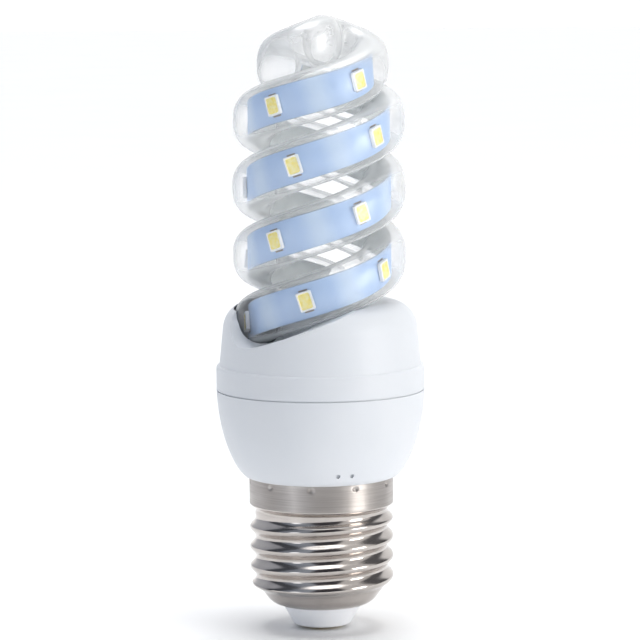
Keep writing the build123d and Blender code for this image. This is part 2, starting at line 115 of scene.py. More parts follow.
# Tent around the bulb: bearing as a share of the turn, with the shade there
TENT_SHADES = (
    (0.0, (0.06, 0.06, 0.07)), (0.045, (0.07, 0.07, 0.08)), (0.065, (0.40, 0.45, 0.53)),
    (0.20, (0.26, 0.30, 0.37)), (0.215, (0.08, 0.09, 0.11)), (0.285, (0.08, 0.09, 0.11)),
    (0.30, (0.45, 0.48, 0.55)), (0.42, (0.60, 0.63, 0.68)), (0.45, (1.1, 1.1, 1.1)),
    (0.56, (1.1, 1.1, 1.1)), (0.63, (0.95, 0.96, 0.98)), (0.65, (0.14, 0.14, 0.15)),
    (0.73, (0.14, 0.14, 0.15)), (0.75, (0.80, 0.80, 0.80)), (0.89, (0.80, 0.80, 0.80)),
    (0.91, (0.07, 0.07, 0.08)), (1.0, (0.06, 0.06, 0.07)),
)
ROOF_SHADE = (5.0, 5.0, 5.0, 1)
ROOF_FROM = 0.91
ROOF_FULL = 0.97
# Soft lights: name, place and size in metres, power in watts, tint
SOFTBOXES = (
    ("key_softbox", (0.66, -0.35, 0.16), (0.30, 0.45), 2.4, (1.0, 0.99, 0.97)),
    ("fill_softbox", (-0.53, -0.53, 0.12), (0.20, 0.40), 0.4, (0.92, 0.96, 1.0)),
    ("top_softbox", (0.1, 0.1, 0.75), (0.6, 0.6), 1.0, (1.0, 1.0, 1.0)),
)
LIGHT_BOUNCES = 32


def length(name, description, default_mm):
    """A length, with its default in millimetres."""
    return FloatProperty(
        name=name, description=description, default=default_mm * MM, unit="LENGTH", precision=5)


def angle(name, description, default_deg):
    """An angle, with its default in degrees."""
    return FloatProperty(name=name, description=description, default=radians(default_deg), subtype="ANGLE")


def number(name, description, default):
    """A plain number."""
    return FloatProperty(name=name, description=description, default=default)


def colour(name, description, default):
    """A colour with its alpha."""
    return FloatVectorProperty(
        name=name, description=description, default=default, size=4, min=0.0, max=1.0, subtype="COLOR")


class BulbTube(bpy.types.PropertyGroup):
    """Path and section of the clear tube."""
    radius: length("Radius", "Axis to the centre line on the regular turns", 11.8)
    width: length("Width", "Tube's width, away from the axis", 7.8)
    height: length("Height", "Tube's height across its centre line", 9.2)
    wall: length("Wall", "Thickness of the clear wall", 1.15)
    squareness: number("Squareness", "Power of the section's rounded oval", 2.35)
    exit_height: length("Exit height", "Centre line where the front strand passes the left side", 55.95)
    half_turn_rise: length("Rise", "Climb in half a turn", 12.37)
    exit_angle: angle("Exit angle", "Turn at the exit height", 180)
    front_end: angle("Front end", "Turn at the front strand's lower end", 145)
    back_end: angle("Back end", "Turn at the back strand's lower end", 215)
    dive_angle: angle("Dive angle", "Turn where the back strand starts to dive into the cap", 275)
    dive_drop: length("Dive drop", "How far the back strand has dived at its lower end", 7.0)
    regular_end: angle("Regular end", "Turn where the regular climb ends", 720)
    taper_start: angle("Taper start", "Turn where the strands start to close in", 690)
    crown_end: angle("Crown end", "Turn where the strands lead in to the axis", 900)
    apex: angle("Apex", "Turn at the axis, where the strands join", 1080)
    crown_radius: length("Crown radius", "Axis to the centre line in the crown", 8.4)
    crown_width: length("Crown width", "Tube's width in the crown", 7.0)
    crown_rise: length("Crown rise", "Climb from the regular turns to the crown", 9.8)
    crown_slope: number("Crown slope", "Slope where the crown leads in", 0.36)
    crown_shift: length("Crown shift", "Crown's distance from the axis, to the viewer's right", 0.85)
    apex_rise: length("Apex rise", "Climb from the crown to the apex", 4.3)


class BulbStrip(bpy.types.PropertyGroup):
    """LED strips and the packages on them."""
    width: length("Width", "Strip's width", 6.3)
    thickness: length("Thickness", "Strip's thickness", 0.4)
    depth: length("Depth", "Strip's face below the tube's outer face", 2.7)
    start_a: angle("Start A", "Turn at the front strip's foot", 172)
    start_b: angle("Start B", "Turn at the back strip's foot", 266)
    end_a: angle("End A", "Turn at the front strip's upper end", 835)
    end_b: angle("End B", "Turn at the back strip's upper end", 888)
    led_first_a: angle("First LED A", "Turn of the front strip's first LED", 188.9)
    led_first_b: angle("First LED B", "Turn of the back strip's first LED", 273.6)
    led_pitch: length("LED pitch", "Length of strip from one LED to the next", 16.65)
    led_length: length("LED length", "Package along the strip", 2.8)
    led_width: length("LED width", "Package across the strip", 3.5)
    led_height: length("LED height", "Package above the strip", 0.7)
    led_gap: length("Solder gap", "Package's foot above the strip", 0.05)
    mask: colour("Solder mask", "Bluish white mask of the strips", (0.44, 0.59, 0.84, 1))
    # Painted highlight: this paler mask half-way between the packages stands in for the highlight on the
    # strips
    pale: colour("Solder mask, pale", "Paler mask half-way between the packages", (0.57, 0.70, 0.88, 1))
    back: colour("Back", "Inner face of the strips", (0.90, 0.93, 0.93, 1))
    edge: colour("Edge", "Cut edge of the strips", (0.30, 0.34, 0.40, 1))
    solder: colour("Solder", "Solder tabs at the ends of each package", (0.26, 0.22, 0.19, 1))
    package: colour("Package", "Moulded frame of the packages", (0.95, 0.95, 0.94, 1))
    package_dull: colour("Package, dull", "Duller places of the packages", (0.90, 0.905, 0.89, 1))
    phosphor: colour("Phosphor", "Light-giving face", (0.96, 0.80, 0.17, 1))
    phosphor_pale: colour("Phosphor, pale", "Thin places of the phosphor", (0.98, 0.90, 0.46, 1))


class BulbBase(bpy.types.PropertyGroup):
    """Screw shell and the foot below it."""
    crest_r: length("Crest radius", "Axis to the thread's crest", 13.15)
    pitch: length("Pitch", "Height of one turn of the thread", 3.63)
    thread_depth: length("Depth", "Crest to root", 1.1)
    thread_phase: length("Phase", "Height of a crest on the right side", 13.25)
    rim_z: length("Rim", "Height of the shell's lower rim", 4.4)
    foot_top: length("Foot top", "Height where the thread starts", 8.5)
    thread_top: length("Thread top", "Height where the thread ends", 22.0)
    skirt_top: length("Skirt top", "Upper edge of the plain skirt", 28.0)
    fade: length("Fade", "Height over which the thread runs out", 1.9)
    foot_r: length("Foot radius", "Radius at the shell's rim", 9.1)
    foot_round: length("Foot round", "Roll of the rim", 1.4)
    chamfer: length("Chamfer", "Height of the step from thread to skirt", 1.2)
    sheet: length("Sheet", "Thickness of the shell's sheet", 0.4)
    hole_r: length("Hole radius", "Hole in the rim for the insulator", 7.45)
    crimps: IntProperty(name="Crimps", description="Dimples around the skirt", default=10)
    crimp_angle: angle("Crimp angle", "Angle of one dimple from the right side", 10)
    crimp_drop: length("Crimp drop", "Dimples below the skirt's upper edge", 0.8)
    crimp_r: length("Crimp radius", "Radius of a dimple's mouth", 0.68)
    crimp_depth: length("Crimp depth", "Depth of a dimple", 0.4)
    nickel: colour("Nickel", "Plated sheet", (0.55, 0.51, 0.48, 1))
    nickel_dark: colour("Nickel, worn", "Duller places of the plating", (0.46, 0.425, 0.40, 1))
    satin: colour("Satin", "Brushed plating of the skirt", (0.56, 0.525, 0.50, 1))
    insulator: colour("Insulator", "Moulded foot", (0.92, 0.935, 0.97, 1))
    insulator_pale: colour("Insulator, pale", "Paler places of the foot", (0.95, 0.96, 0.98, 1))


class BulbHousing(bpy.types.PropertyGroup):
    """Finish of the white housing and the clear tube."""
    white: colour("White", "Moulded plastic", (0.69, 0.715, 0.75, 1))
    white_warm: colour("White, warm", "Slightly paler flow marks", (0.71, 0.73, 0.76, 1))
    clear: colour("Clear plastic", "Tint of the tube's wall, seen square on", (0.985, 0.99, 0.99, 1))
    haze: colour("Haze", "Tint of the tube's wall, seen along it", (0.71, 0.725, 0.73, 1))
    clear_ior: number("Refraction", "Index of the clear plastic", 1.005)


class BulbStage(bpy.types.PropertyGroup):
    """Camera, floor and light."""
    target_z: length("Target", "Height that the camera looks at", 56.5)
    distance: length("Distance", "Camera to the axis", 600)
    elevation: angle("Elevation", "Camera above the level", 6.6)
    roll: angle("Roll", "Turn of the camera about its view", -0.45)
    focal_px: number("Focal length", "Focal length in pixels of the frame", 3300)
    frame_px: IntProperty(name="Frame", description="Width of the frame in pixels", default=640)
    floor: colour("Floor", "Pale floor", (0.95, 0.953, 0.957, 1))
    floor_pale: colour("Floor, pale", "Paler places of the floor", (0.965, 0.967, 0.97, 1))
    floor_size: length("Floor size", "Half the floor's width", 4000)


def ease(t):
    """Smooth step 3t^2 - 2t^3 from 0 to 1, held at either end."""
    t = np.clip(t, 0.0, 1.0)
    return t * t * (3 - 2 * t)


def blend(t, start, end, slope_in, slope_out):
    """Cubic from start to end over t = 0 to 1, with the given slopes at its ends."""
    return start + (end - start) * ease(t) + slope_in * t * (1 - t) ** 2 - slope_out * t * t * (1 - t)


def narrowing(turns, tube):
    """How far the tube has closed in, from 0 on the regular turns to 1 in the crown."""
    return ease((turns - tube.taper_start) / (tube.crown_end - tube.taper_start))


def tube_half_width(turns, tube):
    """Half the tube's width at the given turns, which shrinks by the same smooth step."""
    return (tube.width + (tube.crown_width - tube.width) * narrowing(turns, tube)) / 2


def strand_centre(turns, tube, dives):
    """Centre line of a strand at the given turns, as rows of x, y, z.

    A helix of constant radius and rise, whose radius shrinks by a smooth step to the crown's. Past
    the crown's end the line is half a circle from there to the apex. The crown is shifted to one
    side by the same smooth step. The height goes over to two cubics in the crown, and a diving
    strand drops by the square of the turn below its last one.
    """
    closed = narrowing(turns, tube)
    r = tube.radius + (tube.crown_radius - tube.radius) * closed
    half = tube.crown_radius / 2
    past = turns > tube.crown_end
    x = np.where(past, half * (cos(tube.crown_end) + np.cos(turns)), r * np.cos(turns))
    y = np.where(past, half * (sin(tube.crown_end) + np.sin(turns)), r * np.sin(turns))
    x = x + tube.crown_shift * closed * (-1 if dives else 1)
    climb = tube.half_turn_rise / pi
    top = tube.exit_height + climb * (tube.regular_end - tube.exit_angle)
    slope = tube.crown_slope * pi * tube.crown_radius
    regular = tube.exit_height + climb * (np.minimum(turns, tube.regular_end) - tube.exit_angle)
    closing = np.clip((turns - tube.regular_end) / (tube.crown_end - tube.regular_end), 0, 1)
    leading = np.clip((turns - tube.crown_end) / (tube.apex - tube.crown_end), 0, 1)
    crown = top + tube.crown_rise
    rising = blend(closing, top, crown, tube.half_turn_rise, slope)
    over = blend(leading, crown, crown + tube.apex_rise, slope / 2, 0)
    z = np.where(past, over, np.where(closing > 0, rising, regular))
    if dives:
        below = np.clip((tube.dive_angle - turns) / (tube.dive_angle - tube.back_end), 0, None)
        z = z - tube.dive_drop * below ** 2
    return np.stack([x, y, z], axis=-1)


def unit(v):
    """Each row of v at length one."""
    return v / np.linalg.norm(v, axis=-1, keepdims=True)


def strand_frames(turns, tube, dives=False):
    """Centre, outward, up and along directions of a strand at each turn.

    Along is the central difference of the centre line, outward is level and square to it, and up
    is their cross product, so that a section lies square across the tube.
    """
    ahead = np.minimum(turns + PATH_STEP, tube.apex)
    behind = ahead - 2 * PATH_STEP
    along = unit(strand_centre(ahead, tube, dives) - strand_centre(behind, tube, dives))
    along[turns >= tube.apex, 2] = 0
    along = unit(along)
    outward = unit(np.stack([along[:, 1], -along[:, 0], np.zeros(len(turns))], axis=-1))
    return strand_centre(turns, tube, dives), outward, np.cross(outward, along), along


def half_turned(points):
    """Points turned half a turn about the axis."""
    return points * np.array([-1.0, -1.0, 1.0])


def carried(sections, centre, outward, up):
    """Sections carried along a path: centre + u outward + v up for each section point (u, v)."""
    u = sections[..., 0][..., None]
    v = sections[..., 1][..., None]
    return centre[:, None, :] + u * outward[:, None, :] + v * up[:, None, :]


def rounded_oval(half_width, half_height, power, count):
    """Closed ovals |u/a|^p + |v/b|^p = 1, as count points for each given half size and power."""
    a = np.linspace(0, FULL_TURN, count, endpoint=False)
    share = 2 / np.reshape(power, (-1, 1))
    u = half_width[:, None] * np.sign(np.cos(a)) * np.abs(np.cos(a)) ** share
    v = half_height[:, None] * np.sign(np.sin(a)) * np.abs(np.sin(a)) ** share
    return np.stack([u, v], axis=-1)


def grid_faces(rows, cols, wrap_rows=False, wrap_cols=True):
    """Four-sided faces of a grid of points, closed along its rows or columns where asked."""
    i = np.arange(rows if wrap_rows else rows - 1)[:, None]
    j = np.arange(cols if wrap_cols else cols - 1)[None, :]
    after_i = (i + 1) % rows
    after_j = (j + 1) % cols
    corners = [i * cols + j, after_i * cols + j, after_i * cols + after_j, i * cols + after_j]
    return np.stack([np.broadcast_to(c, (i.size, j.size)) for c in corners], axis=-1).reshape(-1, 4)


def new_piece(name, points, faces, materials, sharp=radians(35)):
    """Object at the origin from points and faces, smooth except along edges sharper than the angle."""
    mesh = bpy.data.meshes.new(name)
    mesh.from_pydata(points.reshape(-1, 3), [], faces)
    for material in materials:
        mesh.materials.append(material)
    mesh.polygons.foreach_set("use_smooth", np.ones(len(mesh.polygons), dtype=bool))
    mesh.set_sharp_from_angle(angle=sharp)
    mesh.update()
    piece = bpy.data.objects.new(name, mesh)
    bpy.context.scene.collection.objects.link(piece)
    return piece


def seat(piece, slot, *nodes):
    """The piece rides on the bulb and stands for the given nodes, which it hides. The slot is not used."""
    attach(piece, BODY)
    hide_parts(*nodes)


def point_values(piece, name, values):
    """Keeps one number for each point, for a material to follow the surface with."""
    attribute = piece.data.attributes.new(name, "FLOAT", "POINT")
    attribute.data.foreach_set("value", np.ascontiguousarray(values, dtype=np.float32).ravel())


def finish_node(node, material):
    """Gives a node of the frame its material."""
    mesh = frame["nodes"][node].data
    mesh.materials.clear()
    mesh.materials.append(material)


class Finish:
    """Short hand for one material's nodes."""

    def __init__(self, name):
        self.material = bpy.data.materials.new(name)
        self.material.use_nodes = True
        self.tree = self.material.node_tree
        self.shader = self.tree.nodes["Principled BSDF"]

    def node(self, kind, **settings):
        """New node of a kind, with its settings."""
        made = self.tree.nodes.new(kind)
        for key, value in settings.items():
            setattr(made, key, value)
        return made

    def link(self, out, into):
        """Joins an output to an input."""
        self.tree.links.new(out, into)

    def set(self, **values):
        """Constants on the shader's inputs, with _ for each space in a name."""
        for key, value in values.items():
            self.shader.inputs[key.replace("_", " ")].default_value = value
        return self

    def object_points(self, scale):
        """Object coordinates in millimetres, stretched by the scale."""
        source = self.node("ShaderNodeTexCoord")
        mapping = self.node("ShaderNodeMapping")
        mapping.inputs["Scale"].default_value = [k / MM for k in scale]
        self.link(source.outputs["Object"], mapping.inputs["Vector"])
        return mapping.outputs["Vector"]

    def noise(self, size_mm, detail=2.0, stretch=(1, 1, 1)):
        """Noise whose features are about the given size."""
        made = self.node("ShaderNodeTexNoise")
        made.inputs["Scale"].default_value = 1 / size_mm
        made.inputs["Detail"].default_value = detail
        self.link(self.object_points(stretch), made.inputs["Vector"])
        return made.outputs["Fac"]

    def spread(self, value, low, high, low_in=0.3, high_in=0.7):
        """Value taken from one range to another."""
        made = self.node("ShaderNodeMapRange")
        made.inputs["From Min"].default_value = low_in
        made.inputs["From Max"].default_value = high_in
        made.inputs["To Min"].default_value = low
        made.inputs["To Max"].default_value = high
        self.link(value, made.inputs["Value"])
        return made.outputs["Result"]

    def mixed(self, factor, first, second):
        """Colour between two others."""
        made = self.node("ShaderNodeMix", data_type="RGBA")
        self.link(factor, made.inputs["Factor"])
        for socket, value in ((made.inputs[6], first), (made.inputs[7], second)):
            if isinstance(value, bpy.types.NodeSocket):
                self.link(value, socket)
            else:
                socket.default_value = value
        return made.outputs[2]

    def bump(self, value, depth_mm):
        """Unevenness of the surface, of the given depth."""
        made = self.node("ShaderNodeBump")
        made.inputs["Distance"].default_value = depth_mm * MM
        made.inputs["Strength"].default_value = 1.0
        self.link(value, made.inputs["Height"])
        self.link(made.outputs["Normal"], self.shader.inputs["Normal"])

    def attribute(self, name):
        """The piece's own number at each point."""
        return self.node("ShaderNodeAttribute", attribute_name=name).outputs["Fac"]

    def maths(self, operation, first, second=None):
        """One sum of two values, or of one."""
        made = self.node("ShaderNodeMath", operation=operation)
        for socket, value in zip(made.inputs, (first, second)):
            if isinstance(value, bpy.types.NodeSocket):
                self.link(value, socket)
            elif value is not None:
                socket.default_value = value
        return made.outputs["Value"]


def white_plastic(name, housing):
    """Moulded white plastic: faint flow marks and a slight waviness."""
    f = Finish(name).set(IOR=1.5)
    flow = f.spread(f.noise(9.0, 3.0, (1, 1, 0.5)), 0, 1)
    f.link(f.mixed(flow, list(housing.white), list(housing.white_warm)), f.shader.inputs["Base Color"])
    f.link(f.spread(f.noise(1.6, 4.0), 0.42, 0.52), f.shader.inputs["Roughness"])
    f.bump(f.noise(3.0, 1.0), 0.004)
    return f.material


def clear_plastic(name, housing):
    """Clear moulded wall with a gloss.

    Its outer skin is hazier in the crown, at the feet and where it is seen edge-on.
    """
    f = Finish(name).set(IOR=housing.clear_ior)
    f.set(Coat_Weight=1.0, Coat_Roughness=0.26, Coat_IOR=2.0)
    along = f.node("ShaderNodeLayerWeight").outputs["Facing"]
    cloud = f.maths("ADD", f.attribute("cloud"), f.spread(f.noise(4.0, 3.0), -0.03, 0.03))
    outer = f.attribute("outer_skin")
    haze = f.maths("MULTIPLY", f.maths("ADD", f.spread(along, 0.0, 1.0, 0.40, 0.88), cloud), outer)
    f.link(f.mixed(haze, list(housing.clear), list(housing.haze)), f.shader.inputs["Base Color"])
    f.link(f.spread(haze, 0.95, 0.25, 0.0, 1.0), f.shader.inputs["Transmission Weight"])
    solid = f.maths("MULTIPLY", f.spread(haze, 0.36, 0.85, 0.0, 1.0), f.spread(outer, 0.35, 1.0, 0.0, 1.0))
    f.link(solid, f.shader.inputs["Alpha"])
    f.link(f.spread(f.noise(4.0, 3.0), 0.02, 0.06), f.shader.inputs["Roughness"])
    return f.material


def strip_mask(name, strip):
    """Bluish white solder mask, with a painted highlight that makes it paler half-way between the LEDs.

    It has solder tabs beside each LED, dark cut edges and a plain back.
    """
    f = Finish(name).set(IOR=1.45)
    from_led = f.maths("ABSOLUTE", f.maths("SUBTRACT", f.maths("FRACT", f.attribute("led_places")), 0.5))
    # Painted highlight: a paler band of mask half-way between the LEDs
    between = f.spread(from_led, 0.0, 1.0, 0.30, 0.46)
    grain = f.spread(f.noise(1.2, 3.0), -0.10, 0.10)
    mask = f.mixed(f.maths("ADD", between, grain), list(strip.mask), list(strip.pale))
    across = f.maths("ABSOLUTE", f.attribute("across"))
    led_end = strip.led_width / strip.width
    beyond = f.maths("MULTIPLY", f.spread(across, 0.0, 1.0, led_end, led_end + 0.02),
                     f.spread(across, 1.0, 0.0, led_end + 0.09, led_end + 0.12))
    tab = f.maths("MULTIPLY", beyond, f.spread(from_led, 1.0, 0.0, 0.045, 0.055))
    face = f.mixed(tab, mask, list(strip.solder))
    both = f.mixed(f.attribute("outer"), list(strip.back), face)
    edge = f.spread(across, 0.0, 0.8, 0.95, 1.0)
    f.link(f.mixed(edge, both, list(strip.edge)), f.shader.inputs["Base Color"])
    f.link(f.spread(f.noise(0.8, 2.0), 0.38, 0.52), f.shader.inputs["Roughness"])
    f.bump(f.noise(1.0, 2.0), 0.004)
    return f.material


def package_plastic(name, strip):
    """Off-white moulded frame of an LED package."""
    f = Finish(name).set(IOR=1.5)
    f.link(f.mixed(f.spread(f.noise(0.5, 3.0), 0, 1), list(strip.package), list(strip.package_dull)),
           f.shader.inputs["Base Color"])
    f.link(f.spread(f.noise(0.3), 0.3, 0.45), f.shader.inputs["Roughness"])
    return f.material


def phosphor(name, strip):
    """Yellow phosphor in silicone, a little uneven, with a wet gloss."""
    f = Finish(name).set(IOR=1.41)
    f.link(f.mixed(f.spread(f.noise(0.6, 4.0), 0, 1), list(strip.phosphor), list(strip.phosphor_pale)),
           f.shader.inputs["Base Color"])
    f.link(f.spread(f.noise(0.4), 0.12, 0.28), f.shader.inputs["Roughness"])
    f.bump(f.noise(0.5, 2.0), 0.01)
    return f.material


def nickel_plate(name, base):
    """Bright nickel on rolled sheet, with fine lines around it and a few duller places."""
    f = Finish(name).set(Metallic=1.0)
    lines = f.noise(0.5, 5.0, (0.06, 0.06, 2.0))
    stain = f.spread(f.noise(5.0, 4.0), 0, 1, 0.45, 0.75)
    f.link(f.mixed(stain, list(base.nickel), list(base.nickel_dark)), f.shader.inputs["Base Color"])
    f.link(f.spread(lines, 0.10, 0.20), f.shader.inputs["Roughness"])
    f.bump(lines, 0.006)
    return f.material


def brushed_nickel(name, base):
    """Nickel of the skirt, brushed around the axis so that its gloss spreads up and down."""
    f = Finish(name).set(Metallic=1.0, Anisotropic=0.9, Anisotropic_Rotation=0.25)
    lines = f.noise(0.4, 5.0, (0.05, 0.05, 2.5))
    tone = f.mixed(f.spread(lines, 0, 1), list(base.satin), list(base.nickel_dark))
    f.link(tone, f.shader.inputs["Base Color"])
    f.link(f.spread(lines, 0.40, 0.48), f.shader.inputs["Roughness"])
    return f.material


def two_tone(name, first, second, size_mm, rough, bump_mm=0.01, metallic=0.0, stretch=(1, 1, 1)):
    """Plain finish for a hidden piece: two close colours and an uneven gloss at one feature size."""
    f = Finish(name).set(Metallic=metallic)
    grain = f.noise(size_mm, 3.0, stretch)
    f.link(f.mixed(f.spread(grain, 0, 1), first, second), f.shader.inputs["Base Color"])
    f.link(f.spread(f.noise(size_mm * 0.6), rough, rough + 0.15), f.shader.inputs["Roughness"])
    f.bump(grain, bump_mm)
    return f.material


# Two colours, feature size and roughness, then bump, metallic and stretch where they differ
HIDDEN_FINISHES = {
    "contact": ((0.72, 0.60, 0.36, 1), (0.62, 0.52, 0.32, 1), 1.2, 0.25, 0.01, 1.0),
    "board": ((0.05, 0.22, 0.11, 1), (0.09, 0.30, 0.15, 1), 2.0, 0.35),
    "package": ((0.03, 0.03, 0.03, 1), (0.06, 0.06, 0.06, 1), 0.5, 0.5),
    "can": ((0.05, 0.06, 0.08, 1), (0.12, 0.13, 0.16, 1), 3.0, 0.3),
    "ferrite": ((0.10, 0.10, 0.11, 1), (0.17, 0.17, 0.18, 1), 0.6, 0.6),
    "copper": ((0.60, 0.24, 0.10, 1), (0.72, 0.36, 0.16, 1), 0.3, 0.25, 0.05, 1.0, (0.1, 0.1, 2)),
    "resistor": ((0.24, 0.42, 0.46, 1), (0.30, 0.50, 0.54, 1), 0.8, 0.4),
    "lead": ((0.80, 0.80, 0.78, 1), (0.72, 0.72, 0.70, 1), 1.0, 0.45),
}


class BULB_OT_tube(bpy.types.Operator):
    """Builds the clear tube, both strands as one hollow piece"""
    bl_idname = "bulb.tube"
    bl_label = "Clear tube"

    def rings(self, tube):
        """Turns of the tube's rings: up the front strand, then down the back one."""
        front = np.linspace(tube.front_end, tube.apex, TUBE_RINGS_FRONT)
        back = np.linspace(tube.apex, tube.back_end, TUBE_RINGS_BACK)[1:]
        return front, back

    def skin(self, tube, inset):
        """One skin of the tube: a rounded oval carried up the front strand and down the back one."""
        front, back = self.rings(tube)
        centre, outward, up, _ = strand_frames(front, tube)
        centre_b, outward_b, up_b, _ = strand_frames(back, tube, True)
        turns = np.concatenate([front, back])
        half_width = tube_half_width(turns, tube)
        half_height = np.full(len(turns), tube.height / 2)
        sections = rounded_oval(half_width - inset, half_height - inset, tube.squareness, TUBE_SIDES)
        return carried(
            sections,
            np.concatenate([centre, half_turned(centre_b)]),
            np.concatenate([outward, -half_turned(outward_b)]),
            np.concatenate([up, half_turned(up_b)]))

    def cloud(self, tube, skin):
        """Haze of each point, the sum of three smooth steps.

        They grow up into the crown, down to the feet and out to the section's edges.
        """
        front, back = self.rings(tube)
        height = (skin[..., 2] - tube.exit_height) / (CAD_BOX[1].z - tube.exit_height)
        crown = ease((height - CROWN_HAZE_FROM) / CROWN_HAZE_SPAN)
        below = np.concatenate([FOOT_HAZE_FRONT - front, FOOT_HAZE_BACK - back])
        foot = ease(below / FOOT_HAZE_SPAN)
        across = np.abs(np.sin(np.linspace(0, FULL_TURN, skin.shape[1], endpoint=False)))
        edge = ease((across - EDGE_HAZE_FROM) / EDGE_HAZE_SPAN)
        return CROWN_HAZE * crown + FOOT_HAZE * foot[:, None] + EDGE_HAZE * edge

    def execute(self, context):
        tube = context.scene.bulb_tube
        outer = self.skin(tube, 0.0)
        skins = np.concatenate([outer, self.skin(tube, tube.wall)[::-1]])
        faces = grid_faces(skins.shape[0], skins.shape[1], wrap_rows=True)
        material = clear_plastic("clear_plastic", context.scene.bulb_housing)
        piece = new_piece("clear_tube", skins, faces, [material], sharp=radians(60))
        cloud = self.cloud(tube, outer)
        point_values(piece, "cloud", np.concatenate([cloud, cloud[::-1]]))
        point_values(piece, "outer_skin", np.repeat([1.0, 0.0], cloud.size))
        seat(piece, "clear_tube", "spiral_tube")
        return {"FINISHED"}


def strip_offset(turns, tube, strip):
    """Distance of the strip's outer face from the tube's centre line."""
    return tube_half_width(turns, tube) - strip.depth


def strip_run(turns, tube, strip, dives):
    """Length of the strip's face from the first turn to each one, as a running sum of chords."""
    centre, outward, _, _ = strand_frames(turns, tube, dives)
    face = centre + strip_offset(turns, tube, strip)[:, None] * outward
    chords = np.linalg.norm(np.diff(face, axis=0), axis=1)
    return np.concatenate([[0.0], np.cumsum(chords)])


def led_turns(first, count, tube, strip, dives):
    """Turns of a strip's LEDs, an even pitch apart along its face."""
    turns = np.linspace(first, tube.apex, RUN_POINTS)
    return np.interp(strip.led_pitch * np.arange(count), strip_run(turns, tube, strip, dives), turns)


class BULB_OT_strips(bpy.types.Operator):
    """Builds the two LED strips"""
    bl_idname = "bulb.strips"
    bl_label = "LED strips"

    def strip(self, name, start, end, first_led, dives, tube, strip, material):
        """A thin bevelled band carried along the strand, its broad face square to the outward way."""
        turns = np.linspace(start, end, STRIP_RINGS)
        half = strip.width / 2
        back = -strip.thickness
        bevel = strip.thickness * STRIP_BEVEL
        v = np.array([-half + bevel, half - bevel, half, half, half - bevel, -half + bevel, -half, -half])
        u = np.array([0, 0, -bevel, back + bevel, back, back, back + bevel, -bevel])
        face = strip_offset(turns, tube, strip)
        sections = np.stack(np.broadcast_arrays(face[:, None] + u, v), axis=-1)
        centre, outward, up, _ = strand_frames(turns, tube, dives)
        points = carried(sections, centre, outward, up)
        if dives:
            points = half_turned(points)
        rows, cols = points.shape[:2]
        faces = grid_faces(rows, cols).tolist()
        faces.append(list(range(cols)))
        faces.append(list(range(rows * cols - 1, (rows - 1) * cols - 1, -1)))
        piece = new_piece(name, points, faces, [material])
        run = strip_run(turns, tube, strip, dives)
        places = (run - np.interp(first_led, turns, run)) / strip.led_pitch + LED_PLACE_SHIFT
        point_values(piece, "led_places", np.broadcast_to(places[:, None], (rows, cols)))
        point_values(piece, "across", np.broadcast_to(v / half, (rows, cols)))
        point_values(piece, "outer", np.broadcast_to(u > back / 2, (rows, cols)))
        seat(piece, "strip", name.replace("strip_band", "led_strip"))

    def execute(self, context):
        tube = context.scene.bulb_tube
        strip = context.scene.bulb_strip
        material = strip_mask("strip_mask", strip)
        runs = (
            ("strip_band_a", strip.start_a, strip.end_a, strip.led_first_a, False),
            ("strip_band_b", strip.start_b, strip.end_b, strip.led_first_b, True),
        )
        for run in runs:
            self.strip(*run, tube, strip, material)
        return {"FINISHED"}


class BULB_OT_leds(bpy.types.Operator):
    """Builds the LED packages, each with its phosphor dish"""
    bl_idname = "bulb.leds"
    bl_label = "LEDs"

    def rings(self, strip):
        """Rounded rectangles stacked from the foot, over the rim and down into the dish.

        Each ring is |u/a|^p + |v/b|^p = 1 with its half sizes moved in by an inset, at its own height.
        """
        insets = np.array(LED_INSETS) * MM
        rim = strip.led_height - np.array(LED_RIM_DROPS) * MM
        heights = np.concatenate([np.array(LED_FOOT_HEIGHTS) * MM, rim])
        half_width = strip.led_width / 2 - insets
        half_length = strip.led_length / 2 - insets
        return rounded_oval(half_width, half_length, np.array(LED_POWERS), LED_SIDES), heights

    def led(self, name, node, turn, tube, strip, materials, dives):
        """One package: its rings stacked outwards from the strip's face, closed at foot and dish."""
        centre, outward, up, along = strand_frames(np.array([turn]), tube, dives)
        ovals, heights = self.rings(strip)
        reach = strip_offset(np.array([turn]), tube, strip)[0] + strip.led_gap
        points = (centre[0] + (reach + heights)[:, None, None] * outward[0]
                  + ovals[..., 0][..., None] * up[0] - ovals[..., 1][..., None] * along[0])
        if dives:
            points = half_turned(points)
        rows, cols = points.shape[:2]
        faces = grid_faces(rows, cols)[:, ::-1].tolist()
        dish = len(faces) - DISH_ROWS * cols
        faces.append(list(range(cols)))
        faces.append(list(range(rows * cols - 1, (rows - 1) * cols - 1, -1)))
        piece = new_piece(name, points, faces, materials)
        slots = np.zeros(len(faces), dtype=np.int32)
        slots[dish:-2] = 1
        slots[-1] = 1
        piece.data.polygons.foreach_set("material_index", slots)
        seat(piece, "led_package", node)

    def execute(self, context):
        tube = context.scene.bulb_tube
        strip = context.scene.bulb_strip
        materials = [package_plastic("led_package", strip), phosphor("phosphor", strip)]
        strands = ((LED_NODES_A, strip.led_first_a, False), (LED_NODES_B, strip.led_first_b, True))
        for nodes, first, dives in strands:
            for node, turn in zip(nodes, led_turns(first, len(nodes), tube, strip, dives)):
                self.led(node.replace("led_", "diode_"), node, turn, tube, strip, materials, dives)
        return {"FINISHED"}


